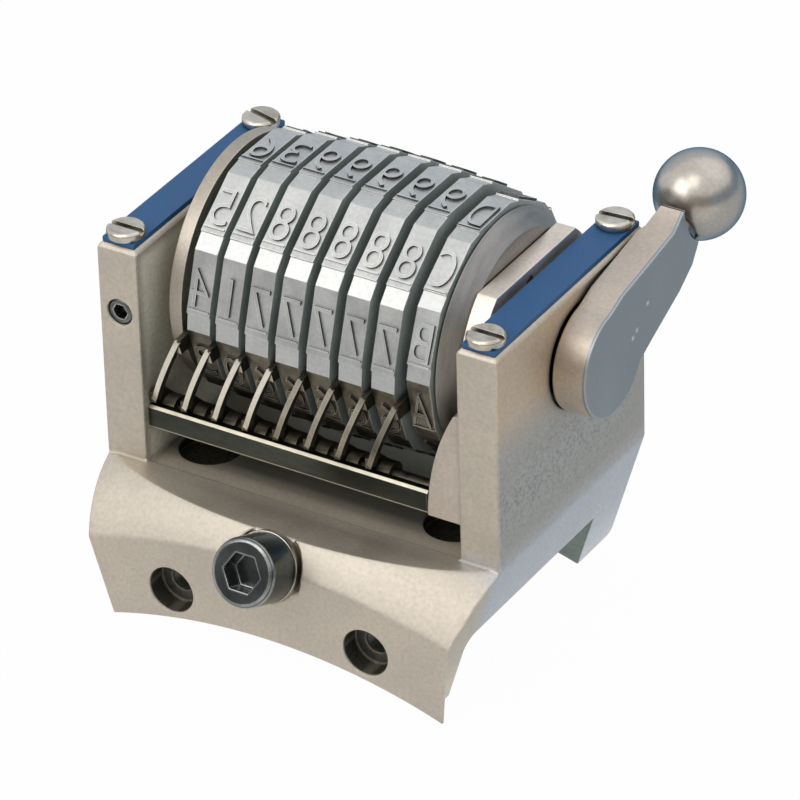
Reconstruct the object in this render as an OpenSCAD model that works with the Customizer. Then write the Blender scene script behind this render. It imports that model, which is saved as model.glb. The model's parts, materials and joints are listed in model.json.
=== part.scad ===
// Numbering box for a rotary press: a saddle frame that clamps on the numbering
// cylinder, a train of type wheels on a cross shaft, a comb of retaining pawls in
// front and a ball-ended lever that swings the drive pawls.
// The cylinder runs front to back (Y) and the wheel shaft runs across (X). Z is up.
// The origin is on the flange's front face, midway between its two fixing holes.

/* [Press cylinder fit] */
// Height of the wheel shaft above the press cylinder's axis
cyl_depth = 126.4; // [110:0.1:140]
// Radius that the front flange sits on
seat_r = 87; // [80:0.5:95]
// Radius under the rear foot
foot_r = 88.6; // [80:0.1:95]
// Radius of the channel roof between flange and foot
channel_r = 97.6; // [92:0.1:102]

/* [Frame] */
// Drop from the wheel shaft to the saddle's flat top
base_drop = 23.4; // [21:0.1:30]
// Distance of the flange's front face in front of the wheel shaft
flange_front = 31.4; // [26:0.1:36]
// Thickness of the front flange
flange_t = 5.6; // [4:0.1:9]
// Distance of the frame's back behind the wheel shaft
frame_back = 18.2; // [15:0.1:24]
// Length of the rear foot along the press cylinder
foot_l = 9.5; // [6:0.1:14]
// Radius at which the front bevel starts
crease_r = 99.25; // [97.8:0.05:104]
// Roundness of the front bevel
bevel_r = 18.5; // [12:0.5:30]
// Angle at which the bevel leaves the front face
bevel_angle = 29.5; // [15:0.5:45]
// Side plate thickness
plate_t = 6.4; // [5:0.1:9]
// Distance of the side plates' front edge in front of the comb bar
plate_out = 1.1; // [0.5:0.1:3]
// Height of the side plates above the wheel shaft
plate_rise = 10.5; // [8:0.1:16]
// Chamfer along the plates' top edges
plate_chamfer = 0.6; // [0.2:0.1:1]
// Length of the sharp point on the flange's right lower corner
horn_l = 2.4; // [0.5:0.1:4]

/* [Type wheels] */
// Number of type wheels
wheel_count = 8; // [4:1:8]
// Spacing of the wheels along the shaft
wheel_pitch = 5; // [4.8:0.05:6]
// Width of a wheel's rim
wheel_w = 3.7; // [3:0.1:4]
// Distance from shaft to type face at the middle of the train
face_r = 19.6; // [18.5:0.1:20.5]
// Digits on a number wheel
digits = 10; // [8:1:12]
// Letters on the letter wheel
letters = 11; // [8:1:12]
// Drop of the letter wheel's face below the train's curve
letter_drop = 0.4; // [0:0.1:1]
// Half the angle that one type face takes up
face_half = 14; // [10:0.5:15]
// Depth of the step below each type face
face_step = 0.3; // [0.1:0.05:0.5]
// Turn of the digits from the top toward the front
digit_turn = 36; // [0:0.5:36]
// Turn of the letters from the top toward the front
letter_turn = 34.5; // [0:0.5:36]
// Radius over the ratchet teeth
ratchet_r = 14.2; // [12:0.1:15]
// Depth of a ratchet tooth
tooth_h = 1.3; // [0.6:0.1:2]
// Radius inside the wheel's rim where the web starts
rim_in_r = 15.4; // [14.8:0.1:17]

/* [Shaft] */
// Wheel shaft radius
shaft_r = 5; // [3:0.1:6]
// Running clearance of a turning fit, on the radius
run_fit = 0.05; // [0.02:0.01:0.1]
// Clearance beside and around parts that pass each other
pass_gap = 0.3; // [0.2:0.05:0.5]
// Radius of the sleeve that joins lever and drum
sleeve_r = 6.6; // [6:0.1:8]
// Drop of the left collar's rim below the type faces
collar_drop = 1.4; // [0.8:0.1:4]
// Gap between the left collar and the left swing arm
arm_gap = 0.7; // [0.3:0.1:1.5]

/* [Drum and cheek] */
// Drum radius beside the letter wheel
drum_big_r = 17.6; // [16:0.1:19]
// Drum radius beside the cheek
drum_small_r = 15.2; // [13:0.1:17]
// Width of the drum with the gap beside it
drum_w = 2.75; // [2:0.05:4]
// Width of the cheek between the drum and the right plate
cheek_w = 3.1; // [2:0.1:5]
// Cheek radius
cheek_r = 16.3; // [14:0.1:18]
// Height of the flat on top of the cheek
cheek_flat = 12.4; // [10:0.1:15]

/* [Lever] */
// Thickness of the lever
lever_t = 5.2; // [4:0.1:7]
// Gap between the right side plate and the lever
lever_gap = 0.4; // [0.3:0.1:1]
// Lever hub radius
hub_r = 8; // [7.5:0.1:10]
// Ball diameter
ball_d = 13; // [10:0.1:16]
// Ball centre behind the shaft
ball_y = 28.4; // [24:0.1:34]
// Ball centre above the shaft
ball_z = 11.2; // [6:0.1:16]
// Swing of the lever, one character of the wheels
lever_swing = 36; // [30:1:40]

/* [Comb] */
// Distance of the comb bar's front face outside the wheels' corners
bar_out = 0.4; // [0.2:0.1:1.5]
// Thickness of the comb bar
bar_t = 1.3; // [1:0.1:3]
// Height of the comb bar
bar_h = 3.8; // [2:0.1:5]
// Drop from the shaft to the bar's top edge
bar_drop = 14.7; // [13:0.1:17]
// Pawl blade thickness
blade_t = 0.8; // [0.5:0.05:1]
// Pawl blade depth
blade_d = 1.5; // [1:0.1:2.5]
// Pawl rod radius
rod_r = 1.1; // [0.8:0.1:1.5]

/* [Fasteners] */
// Spacing of the two fixing holes
fix_spacing = 31.6; // [24:0.1:40]
// Drop from the shaft to the fixing holes
fix_drop = 36.2; // [33:0.1:40]
// Counterbore diameter of the fixing holes
fix_head_d = 7.1; // [6:0.1:8]
// Through diameter of the fixing holes
fix_hole_d = 3.4; // [3:0.1:4.5]
// Depth of the fixing holes' counterbore
fix_head_h = 3.2; // [2:0.1:4.5]
// Clamp screw thread diameter
clamp_d = 6; // [5:0.5:8]
// Clamp screw head diameter
clamp_head_d = 10; // [8.5:0.1:13]
// Slope of the clamp screw below level
clamp_slope = 22.9; // [0:0.1:40]
// Clamp screw seat, in front of the shaft
clamp_seat_y = 30.3; // [28:0.1:33]
// Clamp screw seat, below the shaft
clamp_seat_z = 27.7; // [26:0.1:32]
// Strip screw head diameter
strip_head_d = 5.5; // [4.5:0.1:6]
// Strip screw thread diameter
strip_screw_d = 2.5; // [2:0.1:3]
// Strip thickness
strip_t = 0.8; // [0.4:0.1:2]
// Shaft lock screw diameter
lock_d = 4; // [3:0.5:5]

/* [Hidden] */
axis_y = flange_front;
axis_z = fix_drop;
train_half = (wheel_count - 1) / 2 * wheel_pitch;
train_end = train_half + wheel_w / 2;
train_r = cyl_depth + face_r;
drum_x = train_end + pass_gap;
cheek_x = drum_x + drum_w;
plate_in = cheek_x + cheek_w;
top_half = plate_in + plate_t;
// the frame's two ends point at the press cylinder's axis
side_angle = atan(top_half / (cyl_depth - base_drop));
corner_r = face_r / cos(face_half);
bar_front = corner_r + bar_out;
plate_front = bar_front + plate_out;
collar_r = face_r - collar_drop;
ratchet_w = 1.05;
collar_x = train_end + ratchet_w + pass_gap;
drum_end = cheek_x - 0.1;
lever_x = top_half + lever_gap;
lever_cap = 1.2;
sleeve_end = lever_x + lever_t - lever_cap;
ball_x = lever_x + lever_t / 2;
pawl_tip_r = ratchet_r + pass_gap / 2;
eye_r = rod_r + 1;
rod_y = bar_front - bar_t - pass_gap - eye_r;
rod_z = bar_drop + bar_h / 2;
bar_end = drum_x + 0.15;
shaft_end = top_half - 0.9;
carry_rod_r = 1.5;
carry_tube_r = carry_rod_r + 1.1;
carry_r = corner_r + pass_gap + carry_tube_r;
carry_angle = -20;
arm_x = plate_in - 0.4;
arm_t = 1.6;
collar_end = arm_x - arm_t - arm_gap;
stop_pin_r = 0.9;
stop_r = 10.5;
stop_angle = 100;
stop_slot_h = 1.6;
strip_w = 5.2;
strip_mid = top_half - strip_w / 2 - plate_chamfer;
strip_front = plate_front - plate_chamfer;
strip_end = frame_back - 0.2;
front_screw_in = 2.7;
back_screw_in = 2.4;
screw_front_y = plate_front - front_screw_in;
screw_back_y = frame_back - back_screw_in;
screw_head_h = 1.3;
wire_r = 0.3;
ring_count = 16;
coil_r = (sleeve_r + pass_gap / 2 + wire_r) / cos(180 / ring_count);
coil_turns = 3;
coil_pitch = 1.1;
coil_l = coil_turns * coil_pitch + 2 * wire_r;
side_count = 6;
clamp_head_h = 6;
washer_t = 1.5;
socket_af = 5;
eps = 0.01;
far = 60;

function wheel_x(i) = (i - 1) * wheel_pitch - train_half;
function wheel_face(i) = sqrt(pow(train_r, 2) - pow(wheel_x(i), 2)) - cyl_depth;
function slot_x(i) = wheel_x(i) - wheel_pitch / 2;

nickel = [0.78, 0.74, 0.68];
steel = [0.83, 0.82, 0.8];
dark_steel = [0.32, 0.31, 0.29];
blue = [0.2, 0.36, 0.58];
black = [0.16, 0.17, 0.17];

// Puts shapes drawn about the wheel shaft into the part's own frame.
module at_shaft() {
    translate([0, axis_y, axis_z]) children();
}

// Turns a profile drawn as [radius, x] about the wheel shaft.
module about_shaft() {
    rotate([90, 0, 90]) rotate_extrude($fn = 96) children();
}

// Extrudes an outline drawn in the plane of Y and Z between two values of x.
module side_slab(x0, x1) {
    translate([x0, 0, 0]) rotate([90, 0, 90]) linear_extrude(x1 - x0) children();
}

// Extrudes an outline drawn in the plane of X and Z between two values of y.
module front_slab(y0, y1) {
    translate([0, y1, 0]) rotate([90, 0, 0]) linear_extrude(y1 - y0) children();
}

// Rod along X between two values of x.
module cross_rod(x0, x1, r) {
    translate([x0, 0, 0]) rotate([0, 90, 0]) cylinder(h = x1 - x0, r = r, $fn = 64);
}

// --- Frame ------------------------------------------------------------------

// Section of the saddle through the press cylinder's axis: [radius, y].
module saddle_section() {
    foot_front = frame_back - foot_l;
    flange_back = -flange_front + flange_t;
    outer = cyl_depth;
    bevel_c = [crease_r - bevel_r * sin(bevel_angle),
               -flange_front + bevel_r * cos(bevel_angle)];
    fillet = 2;
    foot_round = 1.5;
    difference() {
        intersection() {
            polygon([[seat_r, -flange_front], [outer, -flange_front],
                     [outer, frame_back], [foot_r, frame_back],
                     [foot_r, foot_front], [channel_r, foot_front],
                     [channel_r, flange_back + fillet],
                     [channel_r - fillet, flange_back], [seat_r, flange_back]]);
            union() {
                translate(bevel_c) circle(bevel_r, $fn = 128);
                translate([seat_r - 1, bevel_c[1]]) square(far);
            }
        }
        translate([channel_r - fillet, flange_back + fillet]) circle(fillet, $fn = 48);
        translate([foot_r, frame_back - foot_round])
            difference() {
                translate([-eps, 0]) square(foot_round + 1);
                translate([foot_round, 0]) circle(foot_round, $fn = 48);
                translate([foot_round, -eps]) square(foot_round + 2);
            }
    }
}

// Saddle between its two radial ends.
module saddle() {
    intersection() {
        translate([0, 0, -cyl_depth])
            rotate([-90, 0, 0]) rotate_extrude($fn = 256) saddle_section();
        front_slab(-far, far)
            polygon([[0, -cyl_depth], [top_half, -base_drop], [-top_half, -base_drop]]);
    }
}

// One side plate, standing on the saddle and chamfered along its inner top edge.
module side_plate() {
    root = 3;
    side_lean = tan(side_angle);
    difference() {
        front_slab(-plate_front, frame_back)
            polygon([[plate_in, -base_drop - root],
                     [top_half - root * side_lean, -base_drop - root],
                     [top_half, -base_drop],
                     [top_half, plate_rise - plate_chamfer],
                     [top_half - plate_chamfer, plate_rise],
                     [plate_in + plate_chamfer, plate_rise],
                     [plate_in, plate_rise - plate_chamfer]]);
        translate([plate_in + plate_t / 2, -plate_front, plate_rise])
            rotate([45, 0, 0])
                cube([far, plate_chamfer * sqrt(2), plate_chamfer * sqrt(2)], center = true);
    }
}

// Sharp point where the flange's right lower corner runs out past its radial end.
module flange_horn() {
    low = [seat_r * sin(side_angle), -cyl_depth + seat_r * cos(side_angle)];
    high = [crease_r * sin(side_angle), -cyl_depth + crease_r * cos(side_angle)];
    tip = [low[0] + horn_l, low[1] - horn_l / 3];
    inset = 0.5;
    polyhedron(
        points = [[high[0] - inset / 2, -flange_front, high[1]],
                  [low[0] - inset, -flange_front, low[1] + inset / 3],
                  [tip[0], -flange_front, tip[1]],
                  [low[0] - inset, -flange_front + flange_t - inset, low[1] + inset / 3]],
        faces = [[0, 2, 1], [0, 1, 3], [1, 2, 3], [0, 3, 2]]);
}

// Places shapes on the clamp screw's axis: Z runs out of the head, 0 is the seat.
module on_clamp_axis() {
    translate([0, -clamp_seat_y, -clamp_seat_z])
        rotate([90 - clamp_slope, 0, 0]) children();
}

module frame_body() {
    floor_cut = 0.4;
    relief_r = 4.6;
    relief_x = 20;
    relief_y = 13.5;
    relief_h = 1.8;
    screw_hole_h = 7;
    clamp_bore_h = 20;
    color(nickel) at_shaft() difference() {
        union() {
            saddle();
            side_plate();
            mirror([1, 0, 0]) side_plate();
            flange_horn();
        }
        // floor between the plates, with a round pocket at each end of the comb
        translate([-plate_in, -plate_front + 0.5, -base_drop - floor_cut])
            cube([2 * plate_in, far, floor_cut + 1]);
        for (side = [-1, 1])
            translate([side * relief_x, -relief_y, -base_drop - floor_cut - relief_h])
                cylinder(h = far / 10, r = relief_r, $fn = 64);
        // wheel shaft in the left plate, lever sleeve and its spring in the right plate
        cross_rod(-shaft_end, -plate_in + 1, shaft_r);
        cross_rod(plate_in - 1, top_half + 1, sleeve_r + run_fit);
        cross_rod(top_half - coil_l - pass_gap, top_half + 1, coil_r + wire_r + pass_gap);
        // pawl rod and comb bar ends
        translate([0, -rod_y, -rod_z]) cross_rod(-plate_in - 2, plate_in + 2, rod_r);
        // lock screw down the left plate's front edge
        translate([-top_half + plate_t / 2, -plate_front - 1, 0])
            rotate([-90, 0, 0]) cylinder(h = plate_front + 1 - shaft_r / 2, d = lock_d, $fn = 48);
        // strip screws
        for (side = [-1, 1])
            for (y = [-screw_front_y, screw_back_y])
                translate([side * strip_mid, y, plate_rise - screw_hole_h])
                    cylinder(h = screw_hole_h + 1, d = strip_screw_d, $fn = 48);
        // fixing holes in the flange
        for (side = [-1, 1])
            translate([side * fix_spacing / 2, -flange_front - 1, -fix_drop])
                rotate([-90, 0, 0]) {
                    cylinder(h = flange_t + 2, d = fix_hole_d, $fn = 48);
                    cylinder(h = fix_head_h + 1, d = fix_head_d, $fn = 64);
                }
        // clamp screw bore and its spot face
        on_clamp_axis() {
            cylinder(h = far / 4, d = clamp_head_d + 1.2, $fn = 64);
            translate([0, 0, -clamp_bore_h])
                cylinder(h = clamp_bore_h + 1, d = clamp_d, $fn = 64);
        }
    }
}

// --- Cover strips and screws --------------------------------------------------

module cover_strip(side) {
    color(blue) at_shaft() difference() {
        translate([side * strip_mid - strip_w / 2, -strip_front, plate_rise])
            cube([strip_w, strip_front + strip_end, strip_t]);
        for (y = [-screw_front_y, screw_back_y])
            translate([side * strip_mid, y, plate_rise - 1])
                cylinder(h = strip_t + 2, d = strip_screw_d, $fn = 48);
    }
}

// Cheese head with a slot and a slightly domed rim, standing on z = 0.
module slotted_head(d, h, slot_turn) {
    slot_w = 0.9;
    dome = 0.35;
    difference() {
        union() {
            cylinder(h = h - dome, d = d, $fn = 64);
            translate([0, 0, h - dome])
                cylinder(h = dome, d1 = d, d2 = d - 2 * dome, $fn = 64);
        }
        rotate([0, 0, slot_turn])
            translate([-d, -slot_w / 2, h / 2]) cube([2 * d, slot_w, h]);
    }
}

module strip_screws(side, front_turn, back_turn) {
    shank = 6;
    turns = [front_turn, back_turn];
    places = [-screw_front_y, screw_back_y];
    color(steel) at_shaft()
        for (k = [0, 1])
            translate([side * strip_mid, places[k], plate_rise + strip_t]) {
                slotted_head(strip_head_d, screw_head_h, turns[k]);
                translate([0, 0, -shank]) cylinder(h = shank + 0.5, d = strip_screw_d, $fn = 48);
            }
}

module shaft_lock_screw() {
    recess = 0.25;
    length = plate_front - recess - shaft_r;
    socket_h = 2;
    lock_socket = 2;
    color(black) at_shaft()
        translate([-top_half + plate_t / 2, -plate_front + recess, 0])
            rotate([-90, 0, 0]) difference() {
                union() {
                    translate([0, 0, 0.3]) cylinder(h = length - 0.3, d = lock_d, $fn = 48);
                    cylinder(h = 0.3, d1 = lock_d - 0.6, d2 = lock_d, $fn = 48);
                }
                translate([0, 0, -1])
                    cylinder(h = socket_h + 1, d = lock_socket / cos(30), $fn = 6);
            }
}

module clamp_screw() {
    length = 14;
    edge = 0.5;
    socket_h = 3;
    d = clamp_head_d;
    color(black) at_shaft() on_clamp_axis() difference() {
        union() {
            translate([0, 0, washer_t]) cylinder(h = clamp_head_h - edge, d = d, $fn = 96);
            translate([0, 0, washer_t + clamp_head_h - edge])
                cylinder(h = edge, d1 = d, d2 = d - 2 * edge, $fn = 96);
            translate([0, 0, -length]) cylinder(h = length + washer_t + 1, d = clamp_d, $fn = 64);
        }
        translate([0, 0, washer_t + clamp_head_h - socket_h])
            cylinder(h = socket_h + 1, d = socket_af / cos(30), $fn = 6);
    }
}

module clamp_washer() {
    color(dark_steel) at_shaft() on_clamp_axis() difference() {
        cylinder(h = washer_t, d = clamp_head_d + 0.4, $fn = 96);
        translate([0, 0, -1]) cylinder(h = washer_t + 2, d = clamp_d, $fn = 64);
    }
}

// --- Shaft, collar, cheek ------------------------------------------------------

module wheel_shaft() {
    color(steel) at_shaft() cross_rod(-shaft_end, sleeve_end - 1, shaft_r);
}

module left_collar() {
    color(nickel) at_shaft() difference() {
        cross_rod(-collar_end, -collar_x, collar_r);
        cross_rod(-collar_end - 1, -collar_x + 1, shaft_r);
    }
}

module right_cheek() {
    color(nickel) at_shaft() difference() {
        side_slab(cheek_x, plate_in) intersection() {
            circle(cheek_r, $fn = 128);
            translate([-far / 2, cheek_flat - far]) square(far);
        }
        cross_rod(cheek_x - 1, plate_in + 1, sleeve_r + run_fit);
        swing_slot_pin(stop_pin_r);
    }
}

// Hole or pin on the stop's pitch circle, from the drum's slot through the cheek.
module swing_slot_pin(r) {
    rotate([stop_angle, 0, 0])
        translate([0, stop_r, 0])
            cross_rod(drum_end - stop_slot_h + 0.2, plate_in, r);
}

module swing_stop_pin() {
    color(steel) at_shaft() swing_slot_pin(stop_pin_r);
}

// --- Comb bar and pawl rod -----------------------------------------------------

module comb_bar() {
    lip = 0.4;
    color(dark_steel) at_shaft()
        side_slab(-plate_in, bar_end)
            polygon([[-bar_front + lip, -bar_drop], [-bar_front + bar_t, -bar_drop],
                     [-bar_front + bar_t, -bar_drop - bar_h],
                     [-bar_front + lip, -bar_drop - bar_h],
                     [-bar_front, -bar_drop - bar_h + lip], [-bar_front, -bar_drop - lip]]);
}

// Block between the comb bar and the right plate. Its inner edge is a long arc that
// ends in a small round at the top.
module comb_end_block() {
    block_back = 14.6;
    block_top = 1;
    edge_r = 36;
    nose_r = 3.4;
    low = -bar_drop - bar_h;
    nose_z = -block_top - nose_r;
    color(nickel) at_shaft() difference() {
        front_slab(-bar_front - 0.1, -block_back) intersection() {
            union() {
                translate([bar_end, low]) square([plate_in - bar_end, nose_z - low]);
                translate([plate_in, nose_z]) circle(nose_r, $fn = 64);
            }
            translate([bar_end + edge_r, low]) circle(edge_r, $fn = 256);
            translate([bar_end, low]) square([plate_in - bar_end, far]);
        }
        cross_rod(bar_end - 1, plate_in + 1, drum_big_r + 2 * pass_gap);
        translate([0, -rod_y, -rod_z]) cross_rod(bar_end - 1, plate_in + 1, rod_r);
    }
}

module pawl_rod() {
    color(steel) at_shaft() translate([0, -rod_y, -rod_z])
        cross_rod(-plate_in - 2, plate_in + 2, rod_r);
}

// --- Type wheels ---------------------------------------------------------------

// Outline of a wheel in the plane of Y and Z: a long flat for each character, a
// short flat between two, and a small step at the lower end of each long flat.
module wheel_outline(r, count, turn) {
    half = face_half * digits / count;
    corner = r / cos(half);
    step = 360 / count;
    polygon([for (k = [0:count - 1])
             for (p = [[half, corner], [-half, corner], [-half, corner - face_step]])
             let (a = 90 + turn + k * step - p[0])
             [p[1] * cos(a), p[1] * sin(a)]]);
}

// Ratchet outline: one tooth to a character, steep on the side that the pawls hold.
module ratchet_outline(count) {
    step = 360 / count;
    polygon([for (k = [0:count - 1])
             for (p = [[0, ratchet_r], [0, ratchet_r - tooth_h], [step / 4, ratchet_r - tooth_h]])
             let (a = k * step + p[0])
             [p[1] * cos(a), p[1] * sin(a)]]);
}

// Type wheel i: rim, thinner web, ratchet on its left side and a bore on the shaft.
module type_wheel(i, r, count, turn) {
    x = wheel_x(i);
    left = x - wheel_w / 2;
    right = x + wheel_w / 2;
    dish = 0.8;
    hub_out_r = shaft_r + 2.5;
    color(steel) at_shaft() difference() {
        union() {
            side_slab(left, right) wheel_outline(r, count, turn);
            side_slab(left - ratchet_w, left + eps) ratchet_outline(count);
        }
        difference() {
            cross_rod(right - dish, right + 1, rim_in_r);
            cross_rod(right - dish - 1, right + 2, hub_out_r);
        }
        cross_rod(left - 2, right + 2, shaft_r + run_fit);
    }
}

// --- Retaining pawls -----------------------------------------------------------

// Retaining pawl i: an eye on the pawl rod, a bowed blade that leans up in front of
// its wheel, and a flat tongue that enters the slot beside the wheel's ratchet.
module retaining_pawl(i) {
    x = slot_x(i);
    entry_z = -3;
    nose_out = 0.9;
    nose = [-corner_r - nose_out, entry_z + 0.5];
    foot_z = -bar_drop + 0.5;
    heel_h = 1.6;
    heel_in = 0.3;
    heel_l = 2.3;
    heel_top = foot_z + heel_h;
    bow_r = 26;
    bow_out = 1.3;
    bow_drop = 7;
    bow_at = [bow_r - corner_r - bow_out, -bow_drop];
    sweep_gap = 0.55;
    sweep_r = corner_r + sweep_gap;
    tip_angles = [188, 200];
    tongue = [0.8, -2.3];
    // the first pawl's root stands just clear of the left plate
    root_shift = plate_in - pass_gap - blade_t / 2 + slot_x(1);
    blade_lean = atan(root_shift / (entry_z - foot_z));
    root_x = x - root_shift;
    eye_w = 2.6;
    color(steel) at_shaft() difference() {
        union() {
            // leaning blade, cut off level just above the comb bar
            intersection() {
                translate([x, 0, entry_z]) rotate([0, blade_lean, 0])
                    translate([0, 0, -entry_z])
                        side_slab(-blade_t / 2, blade_t / 2) difference() {
                            intersection() {
                                translate(bow_at) circle(bow_r, $fn = 192);
                                translate([-far / 2, nose[1] - far]) square([far / 2, far]);
                            }
                            translate(bow_at) circle(bow_r - blade_d, $fn = 192);
                            circle(sweep_r, $fn = 128);
                        }
                translate([-far / 2, -far / 2, foot_z]) cube(far);
            }
            // heel that joins the blade to the eye
            side_slab(root_x - blade_t / 2, root_x + blade_t / 2)
                polygon([[-bar_front + heel_in, foot_z], [-bar_front + heel_in, heel_top],
                         [-bar_front + heel_in + heel_l, heel_top],
                         [-rod_y + eye_r * 0.8, -rod_z + eye_r * 0.6],
                         [-rod_y - eye_r * 0.9, -rod_z + eye_r * 0.4],
                         [-rod_y - eye_r * 0.95, foot_z]]);
            translate([0, -rod_y, -rod_z])
                cross_rod(root_x - blade_t / 2, root_x - blade_t / 2 + eye_w, eye_r);
            // tongue in the slot between two wheels
            side_slab(x - blade_t / 2, x + blade_t / 2) difference() {
                polygon(concat([nose + tongue, nose],
                               [for (a = tip_angles) pawl_tip_r * [cos(a), sin(a)]]));
                circle(pawl_tip_r, $fn = 128);
            }
        }
        translate([0, -rod_y, -rod_z])
            cross_rod(root_x - blade_t, root_x + eye_w + 1, rod_r + run_fit);
    }
}

// --- Lever and swing -----------------------------------------------------------

// Lever in the plane of Y and Z: a round hub and an arm that widens toward the ball,
// where a round cut leaves room for the ball's neck.
module lever_outline() {
    neck_cut = 9.3;
    cut_at = [0.6, 3.3];
    // corners of the arm, as shares of the ball's distance behind and above the shaft
    arm = [[-0.12, 0.625], [0.099, 0.83], [0.44, 0.973], [0.592, 1.045], [0.69, 1.232],
           [0.894, 1], [0.838, 0.607], [0.771, 0.357], [0.644, 0.143],
           [0.366, -0.179], [0.218, -0.366], [0, -0.446]];
    difference() {
        union() {
            circle(hub_r, $fn = 128);
            polygon([for (p = arm) [p[0] * ball_y, p[1] * ball_z]]);
        }
        translate([ball_y, ball_z] + cut_at) circle(neck_cut, $fn = 128);
    }
}

// Places shapes on the ball's centre with Z along the arm toward the ball.
module at_ball() {
    arm_rise = 22;
    translate([ball_x, ball_y, ball_z]) rotate([arm_rise - 90, 0, 0]) children();
}

module lever_arm() {
    neck_r = 2.5;
    neck_l = 13;
    taper = 19;
    color(nickel) at_shaft() difference() {
        union() {
            difference() {
                side_slab(lever_x, lever_x + lever_t) lever_outline();
                // inner face narrows toward the ball
                translate([lever_x, ball_y - ball_d, -far / 2])
                    rotate([0, 0, -taper]) translate([-far, 0, 0]) cube(far);
            }
            at_ball() translate([0, 0, -neck_l]) cylinder(h = neck_l, r = neck_r, $fn = 64);
        }
        cross_rod(lever_x - 1, sleeve_end, sleeve_r);
        at_ball() sphere(d = ball_d, $fn = 96);
    }
}

module ball_knob() {
    color(steel) at_shaft() at_ball() sphere(d = ball_d, $fn = 96);
}

module lever_sleeve() {
    color(steel) at_shaft() difference() {
        cross_rod(drum_x, sleeve_end, sleeve_r);
        cross_rod(drum_x - 1, sleeve_end + 1, shaft_r + run_fit);
    }
}

// Ear that reaches from the shaft out to the carrier rod, in the plane of Y and Z.
module ear_outline(root_r) {
    tip_r = carry_rod_r + 1.4;
    circle(root_r, $fn = 96);
    rotate(carry_angle) {
        translate([carry_r, 0]) circle(tip_r, $fn = 64);
        polygon([[0, -root_r * 0.8], [carry_r, -tip_r], [carry_r, tip_r], [0, root_r * 0.8]]);
    }
}

module carrier_hole(x0, x1) {
    rotate([carry_angle, 0, 0]) translate([0, carry_r, 0]) cross_rod(x0, x1, carry_rod_r);
}

module swing_drum() {
    x1 = drum_end;
    slot_half = stop_pin_r + 0.15;
    spare = 8;
    color(dark_steel) at_shaft() difference() {
        union() {
            about_shaft() polygon([[sleeve_r, drum_x], [drum_big_r, drum_x],
                                   [drum_small_r, x1], [sleeve_r, x1]]);
            side_slab(drum_x, x1) ear_outline(sleeve_r + 2);
        }
        cross_rod(drum_x - 1, x1 + 1, sleeve_r);
        carrier_hole(drum_x - 1, x1 + 1);
        // arc slot that the stop pin runs in
        side_slab(x1 - stop_slot_h, x1 + 1)
            rotate(stop_angle - spare)
                arc_slot(stop_r, slot_half, lever_swing + 2 * spare);
    }
}

// Arc slot, swept anticlockwise from the first axis.
module arc_slot(r, half, sweep) {
    intersection() {
        difference() {
            circle(r + half, $fn = 128);
            circle(r - half, $fn = 128);
        }
        polygon(concat([[0, 0]], [for (k = [0:4]) let (a = k * sweep / 4)
                                  [2 * r * cos(a), 2 * r * sin(a)]]));
    }
}

module swing_arm_left() {
    x0 = -arm_x;
    x1 = x0 + arm_t;
    color(dark_steel) at_shaft() difference() {
        side_slab(x0, x1) ear_outline(shaft_r + 2.6);
        cross_rod(x0 - 1, x1 + 1, shaft_r + run_fit);
        carrier_hole(x0 - 1, x1 + 1);
    }
}

module carrier_rod() {
    color(steel) at_shaft() carrier_hole(-arm_x, drum_end);
}

// Drive pawls: one tube on the carrier rod with a finger in the slot of each wheel.
module drive_pawls() {
    tube_r = carry_tube_r;
    x0 = -arm_x + arm_t + pass_gap;
    x1 = drum_x - pass_gap;
    tip = 14;
    color(steel) at_shaft() difference() {
        union() {
            rotate([carry_angle, 0, 0]) translate([0, carry_r, 0]) cross_rod(x0, x1, tube_r);
            for (i = [1:wheel_count])
                side_slab(slot_x(i) - blade_t / 2, slot_x(i) + blade_t / 2)
                    rotate(carry_angle) difference() {
                        polygon([[carry_r - tube_r * 0.6, -tube_r * 0.7],
                                 [carry_r + tube_r * 0.6, tube_r * 0.7],
                                 [pawl_tip_r * cos(tip + 14) + 1, pawl_tip_r * sin(tip + 14)],
                                 [pawl_tip_r * cos(tip), pawl_tip_r * sin(tip)]]);
                        circle(pawl_tip_r, $fn = 128);
                    }
        }
        rotate([carry_angle, 0, 0]) translate([0, carry_r, 0])
            cross_rod(x0 - 1, x1 + 1, carry_rod_r + run_fit);
    }
}

// --- Return spring -------------------------------------------------------------

// Ring of points about the torsion spring's centre line after t turns.
function coil_ring(t) = [for (k = [0:side_count - 1])
    let (a = 360 * k / side_count, r = coil_r + wire_r * cos(a))
    [t * coil_pitch + wire_r * sin(a), r * cos(360 * t), r * sin(360 * t)]];

module lever_return_spring() {
    rings = ceil(coil_turns * ring_count);
    points = [for (k = [0:rings]) each coil_ring(k / ring_count)];
    sides = [for (k = [0:rings - 1]) for (s = [0:side_count - 1])
             let (a = k * side_count + s, b = k * side_count + (s + 1) % side_count)
             each [[a, b, b + side_count], [a, b + side_count, a + side_count]]];
    first = [for (s = [1:side_count - 2]) [0, s + 1, s]];
    last = [for (s = [1:side_count - 2]) let (e = rings * side_count) [e, e + s, e + s + 1]];
    echo(spring_self_gap = coil_pitch - 2 * wire_r);
    color(steel) at_shaft() translate([top_half - coil_l - pass_gap / 2 + wire_r, 0, 0])
        polyhedron(points = points, faces = concat(sides, first, last));
}

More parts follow.
